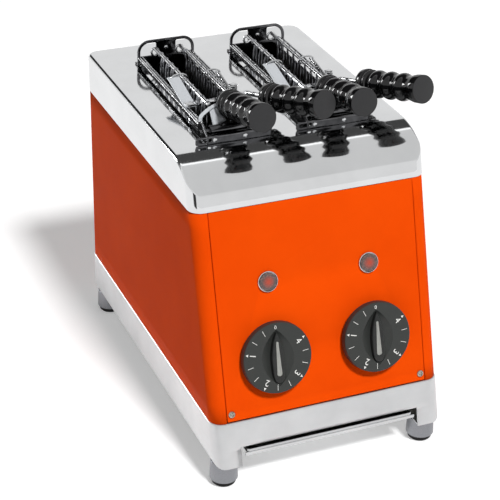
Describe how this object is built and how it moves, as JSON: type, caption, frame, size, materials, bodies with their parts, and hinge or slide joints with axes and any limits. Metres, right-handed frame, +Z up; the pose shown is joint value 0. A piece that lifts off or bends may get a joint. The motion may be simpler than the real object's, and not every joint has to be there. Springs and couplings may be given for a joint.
{
  "type": "bar toaster",
  "caption": "Upright slot toaster with lift-out sandwich tongs, a leaning painted front with timer dials and pilot lamps, a mirror steel cover and a crumb tray.",
  "frame": {"origin": "middle of the overall footprint, on the plane under the feet", "axes": "+Z up, -Y out of the front with the dials, +X to the right of someone who faces the front; the overall box is longest along Y"},
  "size_m": [0.2346, 0.3748, 0.3393],
  "materials": {
    "satin_steel": "satin",
    "mirror_steel": "mirror polished",
    "bright_wire": "bright",
    "raw_sheet": "plain",
    "orange_paint": "gloss powder coat",
    "grip_black": "gloss",
    "dial_grey": "satin",
    "inlay_grey": "satin",
    "foot_rubber": "matte",
    "foot_metal": "satin",
    "lamp_amber": "gloss",
    "heater_quartz": "satin",
    "gland_black": "matte"
  },
  "bodies": {
    "casing": {"plinth": "satin_steel", "base_plate": "raw_sheet", "body_wrapper": "orange_paint", "top_cover": "mirror_steel", "cable_gland": "gland_black", "foot_cup_front_left": "foot_metal", "foot_pad_front_left": "foot_rubber", "foot_cup_front_right": "foot_metal", "foot_pad_front_right": "foot_rubber", "foot_cup_rear_left": "foot_metal", "foot_pad_rear_left": "foot_rubber", "foot_cup_rear_right": "foot_metal", "foot_pad_rear_right": "foot_rubber", "front_panel": "orange_paint", "panel_screw_left": "bright_wire", "timer_left": "raw_sheet", "lamp_housing_left": "bright_wire", "lamp_lens_left": "lamp_amber", "panel_screw_right": "bright_wire", "timer_right": "raw_sheet", "lamp_housing_right": "bright_wire", "lamp_lens_right": "lamp_amber", "slot_rail_left_a": "bright_wire", "slot_rail_left_b": "bright_wire", "rear_bracket_left": "mirror_steel", "front_bracket_left": "mirror_steel", "rest_bar_left": "mirror_steel", "heat_chamber_left": "raw_sheet", "heater_frame_left": "heater_quartz", "slot_rail_right_a": "bright_wire", "slot_rail_right_b": "bright_wire", "rear_bracket_right": "mirror_steel", "front_bracket_right": "mirror_steel", "rest_bar_right": "mirror_steel", "heat_chamber_right": "raw_sheet", "heater_frame_right": "heater_quartz"},
    "knob_left": {"knob_left": "dial_grey", "knob_inlay_left": "inlay_grey", "timer_shaft_left": "raw_sheet"},
    "tong_left_yoke": {"tong_left_pivot_pin": "bright_wire", "tong_left_spring": "raw_sheet"},
    "tong_left_fixed": {"tong_left_fixed_arm": "bright_wire", "tong_left_fixed_grid": "bright_wire", "tong_left_fixed_handle": "grip_black"},
    "tong_left_moving": {"tong_left_moving_arm": "bright_wire", "tong_left_moving_grid": "bright_wire", "tong_left_moving_handle": "grip_black"},
    "knob_right": {"knob_right": "dial_grey", "knob_inlay_right": "inlay_grey", "timer_shaft_right": "raw_sheet"},
    "tong_right_yoke": {"tong_right_pivot_pin": "bright_wire", "tong_right_spring": "raw_sheet"},
    "tong_right_fixed": {"tong_right_fixed_arm": "bright_wire", "tong_right_fixed_grid": "bright_wire", "tong_right_fixed_handle": "grip_black"},
    "tong_right_moving": {"tong_right_moving_arm": "bright_wire", "tong_right_moving_grid": "bright_wire", "tong_right_moving_handle": "grip_black"},
    "crumb_tray": {"crumb_tray": "satin_steel"}
  },
  "joints": [
    {"name": "tray_slide", "type": "slide", "parent": "casing", "child": "crumb_tray", "axis": [0, -1, 0], "range_m": [0, 0.25]},
    {"name": "knob_left_turn", "type": "hinge", "parent": "casing", "child": "knob_left", "pos_m": [-0.05355, -0.16129, 0.11647], "axis": [0, 0.9625, -0.2713], "range_deg": [0, 300]},
    {"name": "tong_left_lift", "type": "slide", "parent": "casing", "child": "tong_left_yoke", "axis": [0, 0, 1], "range_m": [0, 0.16]},
    {"name": "tong_left_squeeze", "type": "hinge", "parent": "tong_left_yoke", "child": "tong_left_fixed", "pos_m": [-0.03255, -0.00522, 0.2955], "axis": [0, 0, 1], "range_deg": [0, 4], "stiffness_Nm_per_rad": 1.5, "springref_deg": -14.32},
    {"name": "tong_left_open", "type": "hinge", "parent": "tong_left_yoke", "child": "tong_left_moving", "pos_m": [-0.03255, -0.00522, 0.2955], "axis": [0, 0, 1], "range_deg": [-4, 0]},
    {"name": "knob_right_turn", "type": "hinge", "parent": "casing", "child": "knob_right", "pos_m": [0.04395, -0.16129, 0.11647], "axis": [0, 0.9625, -0.2713], "range_deg": [0, 300]},
    {"name": "tong_right_lift", "type": "slide", "parent": "casing", "child": "tong_right_yoke", "axis": [0, 0, 1], "range_m": [0, 0.16]},
    {"name": "tong_right_squeeze", "type": "hinge", "parent": "tong_right_yoke", "child": "tong_right_fixed", "pos_m": [0.06295, -0.00522, 0.2955], "axis": [0, 0, 1], "range_deg": [0, 4], "stiffness_Nm_per_rad": 1.5, "springref_deg": -14.32},
    {"name": "tong_right_open", "type": "hinge", "parent": "tong_right_yoke", "child": "tong_right_moving", "pos_m": [0.06295, -0.00522, 0.2955], "axis": [0, 0, 1], "range_deg": [-4, 0]}
  ],
  "couplings": [
    {"joint": "tong_left_open", "follows": "tong_left_squeeze", "ratio": -1},
    {"joint": "tong_right_open", "follows": "tong_right_squeeze", "ratio": -1}
  ]
}
